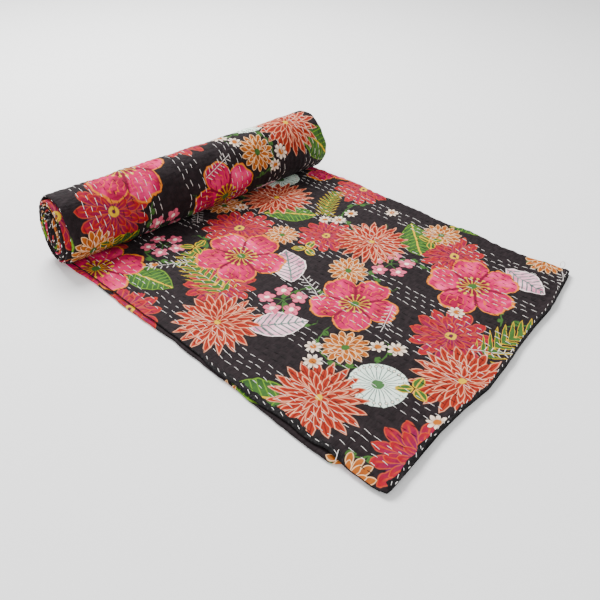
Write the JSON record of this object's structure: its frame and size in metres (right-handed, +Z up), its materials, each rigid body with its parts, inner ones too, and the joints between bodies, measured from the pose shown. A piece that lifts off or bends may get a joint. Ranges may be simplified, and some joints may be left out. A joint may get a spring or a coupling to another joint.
{
  "type": "kantha quilt, folded in three and part rolled",
  "caption": "Thin hand-stitched cotton quilt, folded in three along its length, with one end lying flat and the other wound into a roll.",
  "frame": {"origin": "middle of the footprint, on the surface that the quilt lies on", "axes": "+X from the roll to the flat front edge, +Y along the roll, +Z up"},
  "size_m": [0.6462, 0.5236, 0.1093],
  "materials": {
    "printed_cotton": "printed cotton voile on a near-black ground, quilted with rows of running stitches"
  },
  "bodies": {
    "root": {"quilt": "printed_cotton"}
  },
  "joints": []
}
